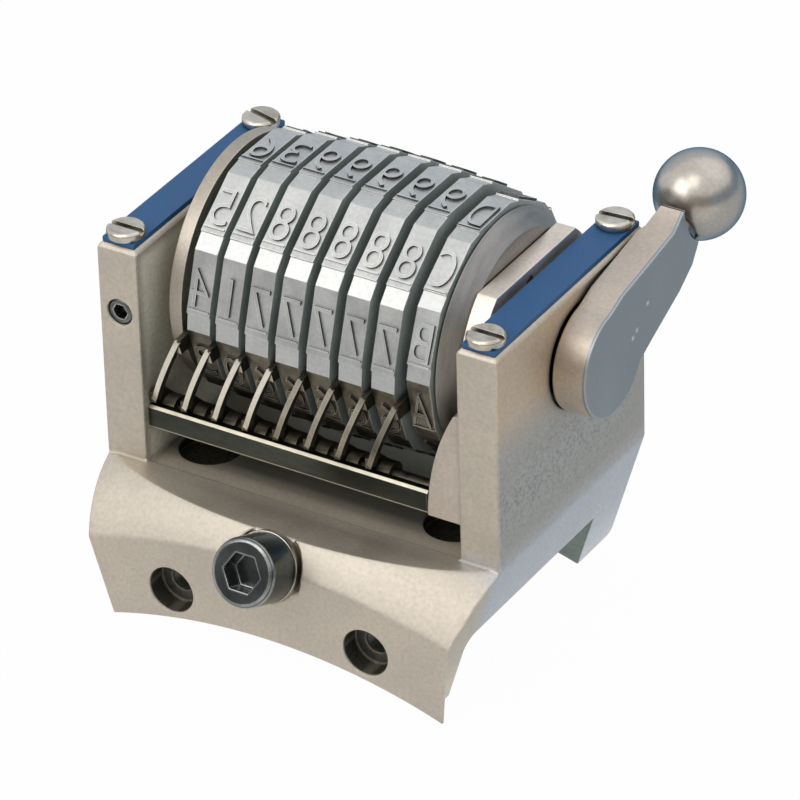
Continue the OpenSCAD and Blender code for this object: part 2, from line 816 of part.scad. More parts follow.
frame_body();
cover_strip(-1);  // left_cover_strip
cover_strip(1);  // right_cover_strip
strip_screws(-1, 0, -15);  // left_strip_screws
strip_screws(1, 0, 5);  // right_strip_screws
shaft_lock_screw();
clamp_screw();
clamp_washer();
wheel_shaft();
left_collar();
right_cheek();
swing_stop_pin();
comb_bar();
comb_end_block();
pawl_rod();
lever_arm();
ball_knob();
lever_sleeve();
swing_drum();
swing_arm_left();
carrier_rod();
drive_pawls();
lever_return_spring();
for (i = [1:wheel_count - 1])
    type_wheel(i, wheel_face(i), digits, digit_turn);
type_wheel(wheel_count, wheel_face(wheel_count) - letter_drop, letters, letter_turn);  // letter_wheel
for (i = [1:wheel_count])
    retaining_pawl(i);
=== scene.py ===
import json
import math

import bmesh
import bpy
from mathutils import Matrix, Vector

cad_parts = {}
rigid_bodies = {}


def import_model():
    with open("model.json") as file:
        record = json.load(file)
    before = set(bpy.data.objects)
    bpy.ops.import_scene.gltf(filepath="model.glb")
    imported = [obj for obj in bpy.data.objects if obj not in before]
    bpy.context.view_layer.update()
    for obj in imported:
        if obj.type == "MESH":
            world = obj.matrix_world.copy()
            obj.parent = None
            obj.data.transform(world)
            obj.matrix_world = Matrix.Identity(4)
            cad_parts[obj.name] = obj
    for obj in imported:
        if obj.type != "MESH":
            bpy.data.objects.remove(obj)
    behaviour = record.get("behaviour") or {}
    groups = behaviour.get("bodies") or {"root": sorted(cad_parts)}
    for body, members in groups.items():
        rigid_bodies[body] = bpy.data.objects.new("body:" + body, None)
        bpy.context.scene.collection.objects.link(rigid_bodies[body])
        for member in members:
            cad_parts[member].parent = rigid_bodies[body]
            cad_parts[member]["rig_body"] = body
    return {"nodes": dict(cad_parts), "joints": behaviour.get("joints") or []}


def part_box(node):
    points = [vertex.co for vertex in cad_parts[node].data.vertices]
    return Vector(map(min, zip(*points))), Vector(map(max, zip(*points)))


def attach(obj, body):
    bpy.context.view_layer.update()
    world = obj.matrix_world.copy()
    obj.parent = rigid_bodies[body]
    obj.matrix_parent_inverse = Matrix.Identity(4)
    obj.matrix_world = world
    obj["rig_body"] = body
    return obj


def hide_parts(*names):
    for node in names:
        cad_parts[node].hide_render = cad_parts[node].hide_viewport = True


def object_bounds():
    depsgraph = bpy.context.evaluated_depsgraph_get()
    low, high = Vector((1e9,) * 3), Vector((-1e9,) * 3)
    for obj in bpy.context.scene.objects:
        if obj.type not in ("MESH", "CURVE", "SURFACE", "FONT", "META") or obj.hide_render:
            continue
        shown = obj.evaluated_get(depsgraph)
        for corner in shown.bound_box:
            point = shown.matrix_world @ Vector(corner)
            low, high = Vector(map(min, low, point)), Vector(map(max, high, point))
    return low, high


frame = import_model()
cad_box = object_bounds()
nodes = frame["nodes"]
scene = bpy.context.scene
scene.view_settings.view_transform = "Standard"

# --- Studio -------------------------------------------------------------------
# The box stands on a pale table under one softbox from the upper left, with a weaker
# one behind it. Grey and blue cards round it, and a bright one overhead, give the
# metal something to reflect. None of this is part of the object.

camera = bpy.data.objects.new("studio_camera", bpy.data.cameras.new("studio_camera"))
scene.collection.objects.link(camera)
camera.data.lens = 299.4
camera.data.sensor_width = 36
camera.data.clip_start = 0.05
camera.data.clip_end = 20
camera_at = (0.419623, -0.632051, 0.516214)
camera_right = (0.854819, 0.518336, -0.024752)
camera_up = (-0.259790, 0.468753, 0.844263)
camera_back = (0.449214, -0.715262, 0.535357)
camera.matrix_world = Matrix.Translation(camera_at) @ Matrix(
    (camera_right, camera_up, camera_back)
).transposed().to_4x4()
scene.camera = camera


def background_rays(tree):
    """Light Path socket that is 1 for the rays which show the white background."""
    path = tree.nodes.new("ShaderNodeLightPath")
    shown = path.outputs["Is Camera Ray"]
    for ray in ("Is Glossy Ray", "Is Transmission Ray"):
        either = tree.nodes.new("ShaderNodeMath")
        either.operation = "MAXIMUM"
        tree.links.new(shown, either.inputs[0])
        tree.links.new(path.outputs[ray], either.inputs[1])
        shown = either.outputs[0]
    return shown


world = bpy.data.worlds.new("studio_room")
world.use_nodes = True
scene.world = world
room = world.node_tree
room_light = room.nodes.new("ShaderNodeMix")
room_light.data_type = "RGBA"
room_light.inputs["A"].default_value = (0.55, 0.56, 0.58, 1)
room_light.inputs["B"].default_value = (1, 1, 1, 1)
room.links.new(background_rays(room), room_light.inputs["Factor"])
room.links.new(room_light.outputs["Result"], room.nodes["Background"].inputs["Color"])


def flat_card(name, centre, facing, width, height):
    """Square-cornered card that faces the given point."""
    mesh = bpy.data.meshes.new(name)
    w, h = width / 2, height / 2
    mesh.from_pydata([(-w, -h, 0), (w, -h, 0), (w, h, 0), (-w, h, 0)], [], [(0, 1, 2, 3)])
    card = bpy.data.objects.new(name, mesh)
    scene.collection.objects.link(card)
    card.location = centre
    card.rotation_mode = "QUATERNION"
    card.rotation_quaternion = (Vector(facing) - Vector(centre)).to_track_quat("Z", "Y")
    return card


table_drop = 0.0002
table_size = 6
table_white_share = 0.98
table_top = flat_card(
    "studio_table", (0, 0, cad_box[0].z - table_drop), (0, 0, 1), table_size, table_size
)
table_paint = bpy.data.materials.new("studio_table")
table_paint.use_nodes = True
tree = table_paint.node_tree
tree.nodes.clear()
table_out = tree.nodes.new("ShaderNodeOutputMaterial")
table_lit = tree.nodes.new("ShaderNodeBsdfDiffuse")
table_lit.inputs["Color"].default_value = (0.8, 0.8, 0.8, 1)
table_white = tree.nodes.new("ShaderNodeEmission")
table_white.inputs["Color"].default_value = (1, 1, 1, 1)
table_share = tree.nodes.new("ShaderNodeMath")
table_share.operation = "MULTIPLY"
table_share.inputs[1].default_value = table_white_share
table_mix = tree.nodes.new("ShaderNodeMixShader")
tree.links.new(background_rays(tree), table_share.inputs[0])
tree.links.new(table_share.outputs[0], table_mix.inputs["Fac"])
tree.links.new(table_lit.outputs[0], table_mix.inputs[1])
tree.links.new(table_white.outputs[0], table_mix.inputs[2])
tree.links.new(table_mix.outputs[0], table_out.inputs["Surface"])
table_top.data.materials.append(table_paint)


def reflector(name, centre, facing, width, height, colour):
    """Card that only glossy surfaces see."""
    card = flat_card(name, centre, facing, width, height)
    card.visible_camera = False
    card.visible_diffuse = False
    card.visible_shadow = False
    card.visible_transmission = False
    paint = bpy.data.materials.new(name)
    paint.use_nodes = True
    tree = paint.node_tree
    tree.nodes.clear()
    out = tree.nodes.new("ShaderNodeOutputMaterial")
    glow = tree.nodes.new("ShaderNodeEmission")
    glow.inputs["Color"].default_value = (*colour, 1)
    tree.links.new(glow.outputs[0], out.inputs["Surface"])
    card.data.materials.append(paint)


middle = Vector((0, 0.0314, 0.03))
studio_reach = 0.9


def toward(azimuth, elevation):
    """Place in the studio, seen from the middle of the box: 0 is its front, 90 its right."""
    a, e = math.radians(azimuth), math.radians(elevation)
    return middle + studio_reach * Vector(
        (math.sin(a) * math.cos(e), -math.cos(a) * math.cos(e), math.sin(e))
    )


def floor_card(name, left, right, front, back, colour):
    """Reflector that lies just over the table."""
    lift = 0.0004
    place = Vector(((left + right) / 2, (front + back) / 2, cad_box[0].z + lift))
    reflector(name, place, place + Vector((0, 0, 1)), right - left, back - front, colour)


floor_card("card_floor_front", -0.6, 0.3, -0.6, 0.002, (0.8, 0.79, 0.77))
floor_card("card_floor_right", 0.0315, 0.6, 0.002, 0.6, (0.62, 0.64, 0.66))
floor_card("card_floor_back", -0.4, 0.03, 0.09, 0.6, (0.28, 0.36, 0.43))
floor_card("card_floor_left", -0.6, -0.06, 0.002, 0.09, (0.22, 0.34, 0.42))
for name, azimuth, elevation, width, height, colour in (
    ("card_front_left", -35, 6, 1.0, 0.36, (0.3, 0.31, 0.3)),
    ("card_back_left", -140, 24, 1.4, 0.8, (0.72, 0.76, 0.82)),
    ("card_back_right", 150, 2, 1.2, 0.6, (0.22, 0.32, 0.42)),
    ("card_right", 85, 4, 1.2, 0.7, (0.24, 0.3, 0.36)),
    ("card_front_right", 30, 8, 1.0, 0.6, (0.3, 0.27, 0.23)),
    ("card_overhead", 5, 62, 0.42, 0.42, (2.4, 2.35, 2.2)),
):
    reflector(name, toward(azimuth, elevation), middle, width, height, colour)


def softbox(name, centre, width, height, watts, tint):
    """Broad lamp that points at the middle of the box."""
    lamp = bpy.data.lights.new(name, "AREA")
    lamp.shape = "RECTANGLE"
    lamp.size = width
    lamp.size_y = height
    lamp.energy = watts
    lamp.color = tint
    holder = bpy.data.objects.new(name, lamp)
    scene.collection.objects.link(holder)
    holder.location = centre
    holder.rotation_mode = "QUATERNION"
    holder.rotation_quaternion = (middle - centre).to_track_quat("-Z", "Y")


softbox("softbox_key", toward(-27, 37), 0.6, 0.5, watts=1.8, tint=(1, 0.98, 0.94))
softbox("softbox_back", toward(150, 60), 0.9, 0.7, watts=0.5, tint=(0.94, 0.97, 1))

# --- Frame --------------------------------------------------------------------
# One casting: saddle, flange, foot and two side plates. It is sand cast, milled on
# the faces that matter, bead blasted and nickel plated. The right plate keeps its
# cast skin outside.


def zone(low, high, soft, colour, share=0.9, metallic=1.0, pits=0):
    """Box in the part's own frame where a metal takes another colour.

    None leaves a side open. The edges are soft in Y and Z, and hard in X.
    """
    return low, high, soft, colour, share, metallic, pits


def metal(name, tone, dark_tone, rough, grain=0.0003, stretch=(1, 1, 1), bump=0.1,
          patch=0.004, corner_shade=(0.1, 0.09, 0.07), corner_shade_reach=0.003, corner_shade_span=(0.25, 0.9),
          worn=(0.85, 0.82, 0.76), worn_reach=0.0003, worn_share=0.6, metallic=1.0,
          zones=(), rim_reflection_tint=None):
    """Metal with mottled tone, fine grain, painted shade in its corners and bright worn
    edges.

    Patches lie between tone and dark_tone, and rough is the roughness at each end.
    The zones are laid over one another in their order.
    """
    hard_edge = 0.00005
    pit_size = 0.00025
    pit_tone = (0.1, 0.1, 0.09)
    speck_tone = tuple(0.6 * c for c in dark_tone)
    grain_height = 0.0001
    paint = bpy.data.materials.new(name)
    paint.use_nodes = True
    tree = paint.node_tree
    new, link = tree.nodes.new, tree.links.new
    shader = tree.nodes["Principled BSDF"]
    # Painted reflection: a tint here colours the metal's grazing gloss.
    if rim_reflection_tint:
        shader.inputs["Specular Tint"].default_value = (*rim_reflection_tint, 1)
    where = new("ShaderNodeTexCoord")
    lay = new("ShaderNodeMapping")
    lay.inputs["Scale"].default_value = stretch
    link(where.outputs["Object"], lay.inputs["Vector"])

    def noise(size, detail):
        """Noise whose blotches are about as wide as the given size."""
        field = new("ShaderNodeTexNoise")
        field.inputs["Scale"].default_value = 0.6 / size
        field.inputs["Detail"].default_value = detail
        link(lay.outputs[0], field.inputs["Vector"])
        return field.outputs["Fac"]

    def ranged(socket, low, high, to_low, to_high):
        spread = new("ShaderNodeMapRange")
        for key, value in zip(("From Min", "From Max", "To Min", "To Max"),
                              (low, high, to_low, to_high)):
            spread.inputs[key].default_value = value
        link(socket, spread.inputs["Value"])
        return spread.outputs[0]

    def times(a, b):
        product = new("ShaderNodeMath")
        product.operation = "MULTIPLY"
        for key, value in enumerate((a, b)):
            if isinstance(value, float):
                product.inputs[key].default_value = value
            else:
                link(value, product.inputs[key])
        return product.outputs[0]

    def mixed(fac, a, b):
        blend = new("ShaderNodeMix")
        blend.data_type = "RGBA"
        link(fac, blend.inputs["Factor"])
        for key, value in (("A", a), ("B", b)):
            if isinstance(value, tuple):
                blend.inputs[key].default_value = (*value, 1)
            else:
                link(value, blend.inputs[key])
        return blend.outputs["Result"]

    def inside(low, high, soft):
        """1 within the box, falling to 0 across its edges."""
        split = new("ShaderNodeSeparateXYZ")
        link(where.outputs["Object"], split.inputs[0])
        share = None
        for axis in range(3):
            reach = soft / 2 if axis else hard_edge
            for bound, ends in ((low[axis], (0, 1)), (high[axis], (1, 0))):
                if bound is None:
                    continue
                side = ranged(split.outputs[axis], bound - reach, bound + reach, *ends)
                share = side if share is None else times(share, side)
        return share

    patches = noise(patch, 4)
    fine = noise(grain, 2)
    colour = mixed(ranged(patches, 0.35, 0.65, 0, 1), dark_tone, tone)
    shine = None
    for low, high, soft, zone_tone, share, zone_metallic, pits in zones:
        mask = times(inside(low, high, soft), share)
        colour = mixed(mask, colour, zone_tone)
        if pits:
            sand = ranged(noise(pit_size, 5), 0.52, 0.36, 0, pits)
            colour = mixed(times(mask, sand), colour, pit_tone)
        dulled = new("ShaderNodeMix")
        dulled.inputs["A"].default_value = metallic
        dulled.inputs["B"].default_value = zone_metallic
        link(mask, dulled.inputs["Factor"])
        if shine:
            link(shine, dulled.inputs["A"])
        shine = dulled.outputs["Result"]
    if shine:
        link(shine, shader.inputs["Metallic"])
    else:
        shader.inputs["Metallic"].default_value = metallic
    colour = mixed(ranged(fine, 0.35, 0.75, 0, 0.3), colour, speck_tone)
    if worn:
        soft_edge = new("ShaderNodeBevel")
        soft_edge.samples = 4
        soft_edge.inputs["Radius"].default_value = worn_reach
        true_normal = new("ShaderNodeNewGeometry")
        likeness = new("ShaderNodeVectorMath")
        likeness.operation = "DOT_PRODUCT"
        link(soft_edge.outputs[0], likeness.inputs[0])
        link(true_normal.outputs["Normal"], likeness.inputs[1])
        rub = ranged(likeness.outputs["Value"], 0.98, 0.85, 0, worn_share)
        colour = mixed(times(rub, ranged(patches, 0.3, 0.5, 0.4, 1)), colour, worn)
    # Painted shade: where ambient occlusion finds a corner, the colour darkens towards the
    # given dark colour.
    if corner_shade:
        corner = new("ShaderNodeAmbientOcclusion")
        corner.samples = 6
        corner.inputs["Distance"].default_value = corner_shade_reach
        colour = mixed(ranged(corner.outputs["AO"], *corner_shade_span, 0.92, 0), colour, corner_shade)
    relief = new("ShaderNodeBump")
    relief.inputs["Strength"].default_value = bump
    relief.inputs["Distance"].default_value = grain_height
    link(fine, relief.inputs["Height"])
    link(relief.outputs[0], shader.inputs["Normal"])
    link(colour, shader.inputs["Base Color"])
    link(ranged(patches, 0.3, 0.7, *rough), shader.inputs["Roughness"])
    return paint


def dressed(node, paint, edge=0.0002, crisp=30, others=(), rim=None, flatten=0.4):
    """Copy of a CAD node with its own finish, and with edges over crisp degrees broken.

    Each of the others is (paint, test), for the faces whose test(normal, centre) holds.
    The broken edges take the rim's paint where one is given. Facets that turn by less
    than flatten degrees are joined first.
    """
    weld = 2e-6
    sliver = 3e-5
    source = nodes[node].data
    mesh = bpy.data.meshes.new(node)
    mesh.from_pydata([v.co for v in source.vertices], [],
                     [p.vertices for p in source.polygons])
    shape = bmesh.new()
    shape.from_mesh(mesh)
    bmesh.ops.remove_doubles(shape, verts=shape.verts, dist=weld)
    if flatten:
        bmesh.ops.dissolve_limit(shape, angle_limit=math.radians(flatten),
                                 verts=shape.verts, edges=shape.edges)
        bmesh.ops.dissolve_degenerate(shape, dist=sliver, edges=shape.edges)
    for slot, (_, test) in enumerate(others, 1):
        for face in shape.faces:
            if not face.material_index and test(face.normal, face.calc_center_median()):
                face.material_index = slot

    def sharp_edges():
        return [e for e in shape.edges
                if e.is_manifold and e.calc_face_angle(0) > math.radians(crisp)]

    if edge:
        bmesh.ops.bevel(shape, geom=sharp_edges(), offset=edge, segments=2, profile=0.5,
                        affect="EDGES", clamp_overlap=False,
                        material=len(others) + 1 if rim else -1)
    for face in shape.faces:
        face.smooth = True
    for line in sharp_edges():
        line.smooth = False
    shape.to_mesh(mesh)
    shape.free()
    piece = bpy.data.objects.new(node + "_finished", mesh)
    scene.collection.objects.link(piece)
    for finish in (paint, *(other for other, _ in others), rim):
        if finish:
            mesh.materials.append(finish)
    if edge:
        even = piece.modifiers.new("even_shading", "WEIGHTED_NORMAL")
        even.keep_sharp = True
        even.weight = 90
    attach(piece, nodes[node]["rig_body"])
    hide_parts(node)
    return piece


plate_out_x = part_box("frame_body")[1].x
plate_in_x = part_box("right_cheek")[1].x
skin_x = plate_out_x - 0.0003
wall_x = plate_in_x + 0.0001
fixing_x = 0.0158
counterbore_r = 0.00355
# Painted shade: the counterbores of the fixing holes are dark inside.
counterbore_shade = [
    zone((side * fixing_x - counterbore_r, 0.0003, -counterbore_r),
         (side * fixing_x + counterbore_r, 0.01, counterbore_r),
         0.0003, (0.05, 0.052, 0.04))
    for side in (-1, 1)]
# Painted light: the inner faces of the plates are light and nearly non-metallic, so they
# look lit though they stand in shade.
inner_plate_painted_light = zone((-wall_x, 0.0105, 0.012), (wall_x, None, 0.0455),
                     0.002, (0.9, 0.87, 0.7), metallic=0.1)
# Painted light: the ledge in front of the pockets is browner and less metallic, so it
# catches lamp light instead of reflecting the dark bar.
ledge_painted_light = zone((-plate_in_x, 0.0085, 0.0115), (plate_in_x, 0.0142, 0.0128),
                    0.001, (0.62, 0.52, 0.4), share=0.85, metallic=0.4)
# Painted shadow: the floor under the comb bar is nearly black.
shadow_under_bar = zone((-plate_in_x, 0.0142, 0.0), (plate_in_x, None, 0.0132),
                    0.003, (0.08, 0.075, 0.055))
# Painted shade: the pockets in the floor are dark.
pocket_shade = zone((-plate_in_x, 0.009, 0.0), (plate_in_x, 0.0235, 0.0119),
                     0.0003, (0.06, 0.06, 0.045))
# Painted highlight: a thin bright line along the front edge of the floor's step.
step_line_highlight = zone((-plate_in_x, 0.01008, 0.0126), (plate_in_x, 0.01026, 0.0129),
                 0.00008, (0.95, 0.88, 0.76), share=0.8, metallic=0.3)
right_side_top = zone((skin_x, None, 0.03), (None, 0.035, None), 0.016, (0.7, 0.57, 0.43))
right_side_middle = zone((skin_x, 0.002, 0.0125), (None, None, 0.032),
                         0.008, (0.46, 0.46, 0.44), share=0.85)
cast_skin = zone((skin_x, 0.006, 0.0165), (None, 0.045, 0.029),
                 0.012, (0.52, 0.52, 0.5), pits=0.45)
# Painted reflection: the lower right plate behind the flange is tinted blue, standing for a
# reflected blue surround.
low_right_blue_reflection = zone((wall_x, 0.008, None), (None, None, 0.0133),
                       0.004, (0.6, 0.645, 0.71))
cast_nickel = metal(
    "cast_nickel", (0.66, 0.6, 0.52), (0.58, 0.53, 0.46), (0.5, 0.6),
    grain=0.00035, bump=0.12, patch=0.006, corner_shade=(0.07, 0.065, 0.05),
    corner_shade_reach=0.0025, corner_shade_span=(0.1, 0.7), worn_share=0.4,
    zones=(*counterbore_shade, inner_plate_painted_light, ledge_painted_light, shadow_under_bar, pocket_shade,
           step_line_highlight, right_side_top, right_side_middle, cast_skin, low_right_blue_reflection))
# Dark bare metal for the seat; on the front of the foot the same dark colour is painted
# shade.
bare_seat_foot_shade = metal("bare_seat_foot_shade", (0.2, 0.24, 0.215), (0.12, 0.145, 0.13), (0.35, 0.5),
                  patch=0.005, corner_shade=None, worn=None)
flange_back_y = 0.006
foot_y = 0.03
saddle_top_z = 0.012


def seat_and_foot_shade_faces(normal, centre):
    """Curved seat on the cylinder, which is bare metal, and the front of the foot behind it,
    whose dark colour is painted shade.
    """
    seat = centre.y > flange_back_y and normal.z < -0.1
    foot = centre.y > foot_y and normal.y < -0.5
    return centre.z < saddle_top_z and abs(normal.x) < 0.6 and (seat or foot)


frame_piece = dressed("frame_body", cast_nickel, 0.0003, 14, ((bare_seat_foot_shade, seat_and_foot_shade_faces),))

# --- Shaft, collar, cheek and stop pin ----------------------------------------
# Ground shaft in the left plate, turned collar beside the first wheel, and a milled
# cheek pinned to the right plate, with the pin that stops the swing.

ground = metal("ground_steel", (0.62, 0.6, 0.57), (0.45, 0.44, 0.42), (0.25, 0.38),
               grain=0.0004, stretch=(6, 1, 1), bump=0.08, corner_shade=(0.05, 0.045, 0.035),
               corner_shade_reach=0.01, corner_shade_span=(0.2, 0.8))
satin_nickel = metal("satin_nickel", (0.64, 0.57, 0.5), (0.55, 0.49, 0.43), (0.38, 0.48),
                     bump=0.12, corner_shade=(0.07, 0.06, 0.05), corner_shade_reach=0.0012)
cheek_nickel = metal("cheek_nickel", (0.85, 0.76, 0.68), (0.74, 0.66, 0.58), (0.42, 0.5),
                     bump=0.1, corner_shade=None)
turned = metal("turned_steel", (0.5, 0.45, 0.39), (0.42, 0.38, 0.33), (0.38, 0.48),
               bump=0.1, corner_shade=None, worn_share=0.4)
for node, paint, slot in (
    ("wheel_shaft", ground, "ground_steel"),
    ("left_collar", turned, "cast_frame"),
    ("right_cheek", cheek_nickel, "cast_frame"),
    ("swing_stop_pin", ground, "ground_steel"),
):
    dressed(node, paint)

# --- Type wheels --------------------------------------------------------------
# Hardened steel wheels, milled all round, with a raised mirrored character on each
# long face. Ink stays along the characters' flanks.

type_steel = metal("type_steel", (0.585, 0.595, 0.585), (0.51, 0.52, 0.52), (0.36, 0.46),
                   grain=0.0003, bump=0.12, patch=0.003, corner_shade=(0.045, 0.045, 0.035),
                   corner_shade_reach=0.006, corner_shade_span=(0.1, 0.5),
                   worn=(0.95, 0.95, 0.92), worn_reach=0.00022)
wheel_side = metal("wheel_side", (0.45, 0.5, 0.47), (0.34, 0.38, 0.36), (0.35, 0.5),
                   bump=0.1, corner_shade=None, worn=(0.6, 0.66, 0.66), worn_reach=0.0002,
                   worn_share=0.8, metallic=0.25)
# Oily steel, darker as painted shade too, for the facets that face down below the front.
type_oil_and_shade = metal("type_oil_and_shade", (0.27, 0.245, 0.2), (0.13, 0.12, 0.095), (0.3, 0.45),
                  patch=0.0015, bump=0.15, corner_shade=None, worn=(0.8, 0.78, 0.7),
                  worn_reach=0.0003, worn_share=0.8)
type_ink = metal("type_ink", (0.12, 0.125, 0.12), (0.07, 0.075, 0.07), (0.45, 0.6),
                 bump=0.2, worn=None, corner_shade=None)

lever_swing = next(j for j in frame["joints"] if j["name"] == "lever_swing")
shaft_at = Vector(lever_swing["pos_m"])
wheel_pitch = 0.005
rim_inside_r = 0.0165
character_h = 0.0055
character_w = 0.0029
character_drop = 0.0006
relief_h = 0.00035
root_depth = 0.0002
bar_half_w = 0.0017
bar_half_h = 0.00012
bar_gap = 0.00045
bar_relief = 0.0002
oil_shade_from = -62
oil_shade_to = -8
type_shapes = {}


def type_shape(character):
    """Points and faces of one character, centred, with its flanks told apart."""
    if character in type_shapes:
        return type_shapes[character]
    outline = bpy.data.curves.new("type_" + character, "FONT")
    outline.body = character
    outline.size = 1
    outline.resolution_u = 6
    outline.offset = -0.012
    outline.extrude = 0.1
    pattern = bpy.data.objects.new("type_" + character, outline)
    scene.collection.objects.link(pattern)
    bpy.context.view_layer.update()
    solid = bpy.data.meshes.new_from_object(
        pattern.evaluated_get(bpy.context.evaluated_depsgraph_get()))
    low = Vector([min(v.co[k] for v in solid.vertices) for k in range(3)])
    high = Vector([max(v.co[k] for v in solid.vertices) for k in range(3)])
    widened = 1.1
    width = min(character_w, character_h * (high.x - low.x) / (high.y - low.y) * widened)
    points = [((v.co.x - (low.x + high.x) / 2) * width / (high.x - low.x),
               (v.co.y - (low.y + high.y) / 2) * character_h / (high.y - low.y),
               (v.co.z - low.z) / (high.z - low.z)) for v in solid.vertices]
    faces = [(tuple(p.vertices), abs(p.normal.z) < 0.5) for p in solid.polygons]
    type_shapes[character] = (points, faces)
    bpy.data.objects.remove(pattern)
    return points, faces


def oily_shaded_facet(normal, centre):
    """Facets just below the front, which face down: oil stays on them, and their dark colour
    is also painted shade.
    """
    rise = math.degrees(math.atan2(centre.z - shaft_at.z, shaft_at.y - centre.y))
    return oil_shade_from < rise < oil_shade_to


def off_the_rim(normal, centre):
    """Sides of a wheel, and its ratchet and web inside the rim."""
    reach = math.hypot(centre.y - shaft_at.y, centre.z - shaft_at.z)
    return abs(normal.x) > 0.7 or reach < rim_inside_r


def type_wheel(node, centre_x, radius, first, characters):
    """Wheel with a character and a thin bar under it on each long face.

    The first character stands at the angle called first, and the others follow upward.
    """
    oil_shade_slot = 2
    ink_slot = 3
    wheel = dressed(node, type_steel, 0.0001, 12,
                    ((wheel_side, off_the_rim), (type_oil_and_shade, oily_shaded_facet)))
    wheel.data.materials.append(type_ink)
    shape = bmesh.new()
    shape.from_mesh(wheel.data)
    step = 360 / len(characters)
    for k, character in enumerate(characters):
        rise = math.radians(first + k * step)
        out = Vector((0, -math.cos(rise), math.sin(rise)))
        up = Vector((0, math.sin(rise), math.cos(rise)))
        points, faces = type_shape(character)
        top_slot = oil_shade_slot if oily_shaded_facet(out, shaft_at + out) else 0
        base = shaft_at + Vector((centre_x, 0, 0)) + out * radius - up * character_drop
        made = [shape.verts.new(base - Vector((x, 0, 0)) + up * y
                                + out * (z * (relief_h + root_depth) - root_depth))
                for x, y, z in points]
        for corners, flank in faces:
            face = shape.faces.new([made[c] for c in reversed(corners)])
            face.material_index = ink_slot if flank else top_slot
        line = base - up * (character_h / 2 + bar_gap)
        made = [shape.verts.new(line + Vector((across * bar_half_w, 0, 0))
                                + up * along * bar_half_h + out * level)
                for across in (-1, 1) for along in (-1, 1)
                for level in (-root_depth, bar_relief)]
        for corners, slot in (((0, 1, 3, 2), ink_slot), ((4, 6, 7, 5), ink_slot),
                              ((0, 4, 5, 1), ink_slot), ((2, 3, 7, 6), ink_slot),
                              ((1, 5, 7, 3), top_slot)):
            face = shape.faces.new([made[c] for c in corners])
            face.material_index = slot
    shape.to_mesh(wheel.data)
    shape.free()


wheel_readings = (5, 2, 8, 8, 8, 8, 8)
letter_order = "ABCDEFGHKLM"
letter_reading = "C"
first_digit_angle = 54.0
first_letter_angle = 55.5
cylinder_drop = 0.1264
train_reach = 0.146
letter_drop = 0.0004


def wheel_x(place):
    """Middle of a wheel, counted from 0 at the left, with the train centred."""
    return (place - len(wheel_readings) / 2) * wheel_pitch


def face_radius(x):
    """Radius of the type faces, which all lie on one cylinder round the press cylinder."""
    return math.sqrt(train_reach ** 2 - x ** 2) - cylinder_drop


for i, reading in enumerate(wheel_readings):
    digits = [str((reading + k) % 10) for k in range(10)]
    type_wheel(f"number_wheel_{i + 1}", wheel_x(i), face_radius(wheel_x(i)),
               first_digit_angle, digits)
start = letter_order.index(letter_reading)
letters = letter_order[start:] + letter_order[:start]
letter_x = wheel_x(len(wheel_readings))
type_wheel("letter_wheel", letter_x, face_radius(letter_x) - letter_drop,
           first_letter_angle, letters)

# --- Comb bar, pawl rod and retaining pawls -----------------------------------
# Blackened steel bar with worn edges, a rod behind it, and eight bowed spring steel
# pawls that hold the wheels. Everything here is wet with oil, and its darker parts are
# also painted shade.

bar_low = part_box("comb_bar")[0]
# Painted highlight: a bright band along the bar's lower front edge.
bar_edge_highlight = zone((None, None, None), (None, bar_low.y + 0.0004, bar_low.z + 0.0005),
                      0.0001, (0.85, 0.79, 0.64), metallic=0.35)
# Oily steel whose darkness is partly painted shade, for the rod and the pawls' flanks and
# roots.
wet_shaded_steel = metal("oiled_steel", (0.17, 0.15, 0.115), (0.07, 0.065, 0.05), (0.38, 0.52),
              patch=0.0012, bump=0.15, corner_shade=None, worn=(0.5, 0.45, 0.36),
              worn_reach=0.0002, worn_share=0.5)
bar_steel = metal("bar_steel", (0.08, 0.085, 0.07), (0.035, 0.038, 0.03), (0.25, 0.4),
                  stretch=(0.3, 1, 1), bump=0.1, corner_shade=None, worn=(0.6, 0.56, 0.48),
                  worn_reach=0.00025, worn_share=0.9, zones=(bar_edge_highlight,))
# Worn steel for the bar's broken edges, lighter too as a painted highlight.
edge_wear_and_highlight = metal("edge_wear_and_highlight_steel", (0.52, 0.48, 0.4), (0.3, 0.28, 0.22), (0.25, 0.4),
               stretch=(0.4, 1, 1), bump=0.1, patch=0.0015)
pawl_steel = metal("pawl_steel", (0.9, 0.85, 0.74), (0.78, 0.73, 0.63), (0.3, 0.42),
                   bump=0.1, corner_shade=(0.05, 0.045, 0.035), corner_shade_reach=0.002)
# Painted shade: the pawls after the first four take a darker steel, as they stand in shadow.
shaded_pawl = metal("pawl_steel_in_shade", (0.5, 0.46, 0.38), (0.26, 0.24, 0.19), (0.3, 0.45),
                 bump=0.1, corner_shade=(0.04, 0.035, 0.028), worn_share=0.35)
pawl_count = 8
lit_pawls = 4
shade_and_oil_top_z = 0.0226
shade_and_oil_front_y = 0.0118


def bar_lip(normal, centre):
    """Broken front edges of the bar, worn, and lighter also as a painted highlight."""
    return normal.y < -0.5 and abs(normal.z) > 0.5


def oily_shaded_pawl_part(normal, centre):
    """Sides of a blade, and all of a pawl that is down by the bar or inside the train: oily,
    and painted dark as shade.
    """
    return abs(normal.x) > 0.7 or centre.z < shade_and_oil_top_z or centre.y > shade_and_oil_front_y


dressed("comb_bar", bar_steel, 0.00008, others=((edge_wear_and_highlight, bar_lip),))
dressed("comb_end_block", satin_nickel, 0.00025)
dressed("pawl_rod", wet_shaded_steel)
for i in range(1, pawl_count + 1):
    face_paint = pawl_steel if i <= lit_pawls else shaded_pawl
    pawl = dressed(f"retaining_pawl_{i}", face_paint, 0.00006,
                   others=((wet_shaded_steel, oily_shaded_pawl_part),))

